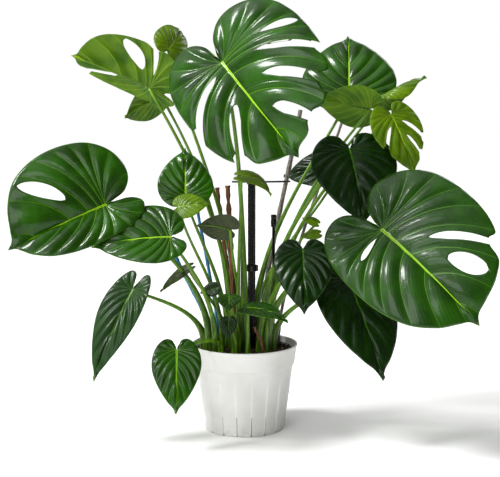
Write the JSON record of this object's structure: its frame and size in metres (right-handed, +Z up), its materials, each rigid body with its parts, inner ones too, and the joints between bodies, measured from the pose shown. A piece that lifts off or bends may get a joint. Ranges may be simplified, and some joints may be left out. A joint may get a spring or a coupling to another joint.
{
  "type": "potted monstera plant",
  "caption": "Monstera plant with split and heart-shaped leaves on long stalks, standing in a round ribbed nursery pot with a plant support.",
  "frame": {"origin": "centre of the underside of the pot", "axes": "+Z up; the plant is seen from -Y with +X to the right"},
  "size_m": [0.7913, 0.4636, 0.7566],
  "materials": {
    "pot": "moulded white plastic, soft sheen",
    "soil": "dark moist potting mix with bark",
    "support": "black moulded plastic",
    "leaf": "waxy glossy leaf",
    "petiole": "smooth green stalk",
    "cane": "weathered cane",
    "blue_cane": "blue coated cane",
    "dried_stem": "dry brown sheath"
  },
  "bodies": {
    "root": {"pot": "pot", "soil": "soil", "support_post": "support", "support_hoop": "support", "support_collar": "support", "support_leg": "support", "leaf_top_centre": "leaf", "leaf_front_left": "leaf", "leaf_front_right": "leaf", "leaf_left_second": "leaf", "leaf_mid_left": "leaf", "leaf_small_lime": "leaf", "leaf_centre_grey": "leaf", "leaf_top_left": "leaf", "leaf_top_left_low": "leaf", "leaf_top_small": "leaf", "leaf_top_right": "leaf", "leaf_right_lime": "leaf", "leaf_right_curled": "leaf", "leaf_right_hanging": "leaf", "leaf_right_dark": "leaf", "leaf_back_dark": "leaf", "leaf_lower_right": "leaf", "leaf_mid_right": "leaf", "leaf_low_left": "leaf", "leaf_low_front": "leaf", "leaf_centre_small": "leaf", "leaf_above_support": "leaf", "leaf_low_right_small": "leaf", "petiole_top_centre": "petiole", "petiole_front_left": "petiole", "petiole_front_right": "petiole", "petiole_left_second": "petiole", "petiole_mid_left": "petiole", "petiole_small_lime": "petiole", "petiole_centre_grey": "petiole", "petiole_top_left": "petiole", "petiole_top_left_low": "petiole", "petiole_top_small": "petiole", "petiole_top_right": "petiole", "petiole_right_lime": "petiole", "petiole_right_curled": "petiole", "petiole_right_hanging": "petiole", "petiole_right_dark": "petiole", "petiole_back_dark": "petiole", "petiole_lower_right": "petiole", "petiole_mid_right": "petiole", "petiole_low_left": "petiole", "petiole_low_front": "petiole", "petiole_centre_small": "petiole", "petiole_above_support": "petiole", "petiole_low_right_small": "petiole", "cane_right": "cane", "cane_back": "cane", "blue_cane_tall": "blue_cane", "blue_cane_short": "blue_cane", "dried_stem_centre": "dried_stem", "dried_stem_left": "dried_stem", "aerial_root": "dried_stem"}
  },
  "joints": []
}
